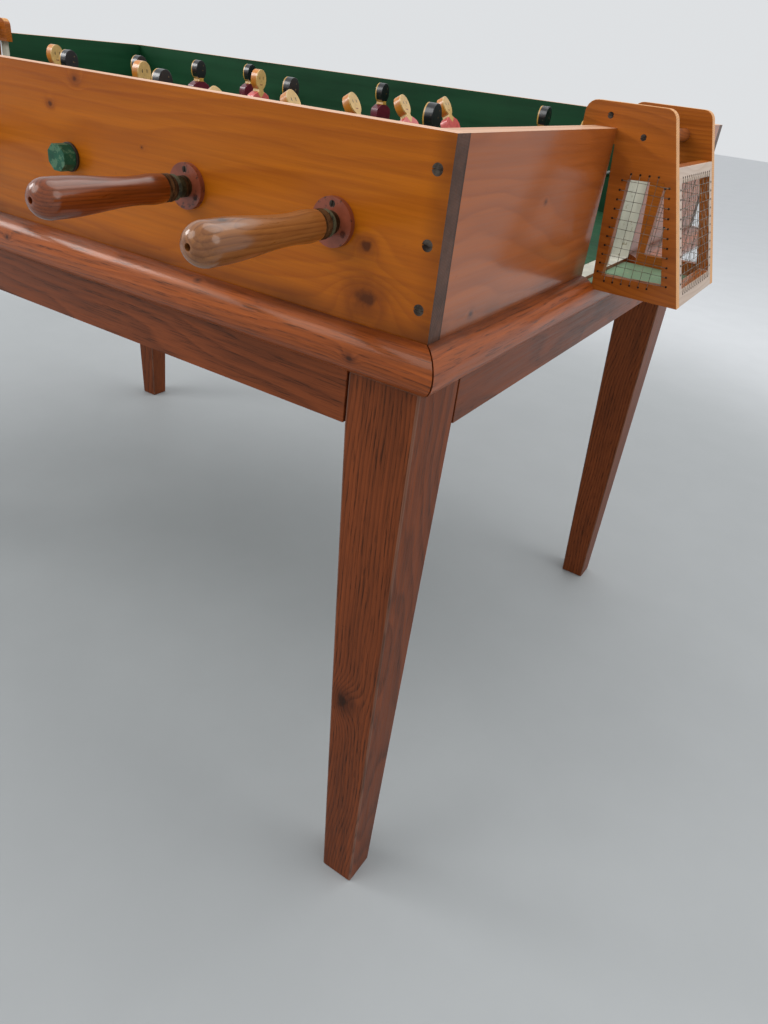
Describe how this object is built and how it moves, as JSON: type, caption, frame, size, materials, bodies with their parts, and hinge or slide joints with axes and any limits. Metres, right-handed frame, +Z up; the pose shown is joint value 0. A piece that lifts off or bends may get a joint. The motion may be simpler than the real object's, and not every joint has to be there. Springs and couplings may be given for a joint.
{
  "type": "football table",
  "caption": "Wooden football table: a box on tapered legs, crossed by sliding, turning rods of cut-out wooden players, with a wire-windowed goal cage at each end.",
  "frame": {"origin": "on the floor under the middle of the pitch", "axes": "+X along the pitch towards the right-hand goal, +Y across it from the near side to the far side, +Z up"},
  "size_m": [1.542, 1.5872, 0.884],
  "materials": {
    "oak": "oiled oak, satin",
    "oak_moulding": "varnished oak, satin",
    "bearer_wood": "bare softwood, matt",
    "green_paint": "old green paint on wood, satin",
    "pine": "varnished pine, semi-gloss",
    "flange_paint": "red-brown paint on turned metal, worn",
    "screw_steel": "aged steel screw heads",
    "cage_wood": "varnished pine, semi-gloss",
    "bar_wood": "turned dowel, varnished",
    "net_wire": "thin dull wire",
    "rod_steel": "dull steel",
    "handle_wood": "turned hardwood, waxed",
    "handle_walnut": "turned figured wood, waxed",
    "maroon_team": "brush-painted wood",
    "pink_team": "brush-painted wood, faded",
    "stop_green": "painted wood, worn",
    "washer_leather": "dark leather washer"
  },
  "bodies": {
    "table": {"leg_near_left": "oak", "leg_near_right": "oak", "leg_far_left": "oak", "leg_far_right": "oak", "aprons": "oak", "mouldings": "oak_moulding", "bearers": "bearer_wood", "pitch": "green_paint", "side_wall_near": "pine", "side_wall_far": "pine", "end_wall_left": "pine", "end_wall_right": "pine", "bushes": "flange_paint", "screws": "screw_steel", "goal_frame_left": "cage_wood", "goal_bars_left": "bar_wood", "goal_net_left": "net_wire", "goal_frame_right": "cage_wood", "goal_bars_right": "bar_wood", "goal_net_right": "net_wire"},
    "far_goalkeeper_slider": {"washer_far_goalkeeper": "washer_leather"},
    "far_goalkeeper_line": {"rod_far_goalkeeper": "rod_steel", "handle_far_goalkeeper": "handle_wood", "players_far_goalkeeper": "pink_team", "stop_far_goalkeeper": "stop_green"},
    "far_backs_slider": {"washer_far_backs": "washer_leather"},
    "far_backs_line": {"rod_far_backs": "rod_steel", "handle_far_backs": "handle_wood", "players_far_backs": "pink_team", "stop_far_backs": "stop_green"},
    "near_forwards_slider": {"washer_near_forwards": "washer_leather"},
    "near_forwards_line": {"rod_near_forwards": "rod_steel", "handle_near_forwards": "handle_wood", "players_near_forwards": "maroon_team", "stop_near_forwards": "stop_green"},
    "far_halves_slider": {"washer_far_halves": "washer_leather"},
    "far_halves_line": {"rod_far_halves": "rod_steel", "handle_far_halves": "handle_wood", "players_far_halves": "pink_team", "stop_far_halves": "stop_green"},
    "near_halves_slider": {"washer_near_halves": "washer_leather"},
    "near_halves_line": {"rod_near_halves": "rod_steel", "handle_near_halves": "handle_wood", "players_near_halves": "maroon_team", "stop_near_halves": "stop_green"},
    "far_forwards_slider": {"washer_far_forwards": "washer_leather"},
    "far_forwards_line": {"rod_far_forwards": "rod_steel", "handle_far_forwards": "handle_wood", "players_far_forwards": "pink_team", "stop_far_forwards": "stop_green"},
    "near_backs_slider": {"washer_near_backs": "washer_leather"},
    "near_backs_line": {"rod_near_backs": "rod_steel", "handle_near_backs": "handle_wood", "players_near_backs": "maroon_team", "stop_near_backs": "stop_green"},
    "near_goalkeeper_slider": {"washer_near_goalkeeper": "washer_leather"},
    "near_goalkeeper_line": {"rod_near_goalkeeper": "rod_steel", "handle_near_goalkeeper": "handle_walnut", "players_near_goalkeeper": "maroon_team", "stop_near_goalkeeper": "stop_green"}
  },
  "joints": [
    {"name": "far_goalkeeper_slide", "type": "slide", "parent": "table", "child": "far_goalkeeper_slider", "axis": [0, 1, 0], "range_m": [0, 0.21]},
    {"name": "far_goalkeeper_spin", "type": "hinge", "parent": "far_goalkeeper_slider", "child": "far_goalkeeper_line", "pos_m": [-0.5621, 0, 0.783], "axis": [0, 1, 0], "continuous": true},
    {"name": "far_backs_slide", "type": "slide", "parent": "table", "child": "far_backs_slider", "axis": [0, 1, 0], "range_m": [-0.006, 0.334]},
    {"name": "far_backs_spin", "type": "hinge", "parent": "far_backs_slider", "child": "far_backs_line", "pos_m": [-0.4015, 0, 0.783], "axis": [0, 1, 0], "continuous": true},
    {"name": "near_forwards_slide", "type": "slide", "parent": "table", "child": "near_forwards_slider", "axis": [0, 1, 0], "range_m": [-0.142, 0]},
    {"name": "near_forwards_spin", "type": "hinge", "parent": "near_forwards_slider", "child": "near_forwards_line", "pos_m": [-0.2409, 0, 0.783], "axis": [0, 1, 0], "continuous": true},
    {"name": "far_halves_slide", "type": "slide", "parent": "table", "child": "far_halves_slider", "axis": [0, 1, 0], "range_m": [-0.024, 0.156]},
    {"name": "far_halves_spin", "type": "hinge", "parent": "far_halves_slider", "child": "far_halves_line", "pos_m": [-0.0803, 0, 0.783], "axis": [0, 1, 0], "continuous": true},
    {"name": "near_halves_slide", "type": "slide", "parent": "table", "child": "near_halves_slider", "axis": [0, 1, 0], "range_m": [-0.18, 0]},
    {"name": "near_halves_spin", "type": "hinge", "parent": "near_halves_slider", "child": "near_halves_line", "pos_m": [0.0803, 0, 0.783], "axis": [0, 1, 0], "continuous": true},
    {"name": "far_forwards_slide", "type": "slide", "parent": "table", "child": "far_forwards_slider", "axis": [0, 1, 0], "range_m": [-0.142, 0]},
    {"name": "far_forwards_spin", "type": "hinge", "parent": "far_forwards_slider", "child": "far_forwards_line", "pos_m": [0.2409, 0, 0.783], "axis": [0, 1, 0], "continuous": true},
    {"name": "near_backs_slide", "type": "slide", "parent": "table", "child": "near_backs_slider", "axis": [0, 1, 0], "range_m": [-0.334, 0.006]},
    {"name": "near_backs_spin", "type": "hinge", "parent": "near_backs_slider", "child": "near_backs_line", "pos_m": [0.4015, 0, 0.783], "axis": [0, 1, 0], "continuous": true},
    {"name": "near_goalkeeper_slide", "type": "slide", "parent": "table", "child": "near_goalkeeper_slider", "axis": [0, 1, 0], "range_m": [-0.21, 0]},
    {"name": "near_goalkeeper_spin", "type": "hinge", "parent": "near_goalkeeper_slider", "child": "near_goalkeeper_line", "pos_m": [0.5621, 0, 0.783], "axis": [0, 1, 0], "continuous": true}
  ]
}
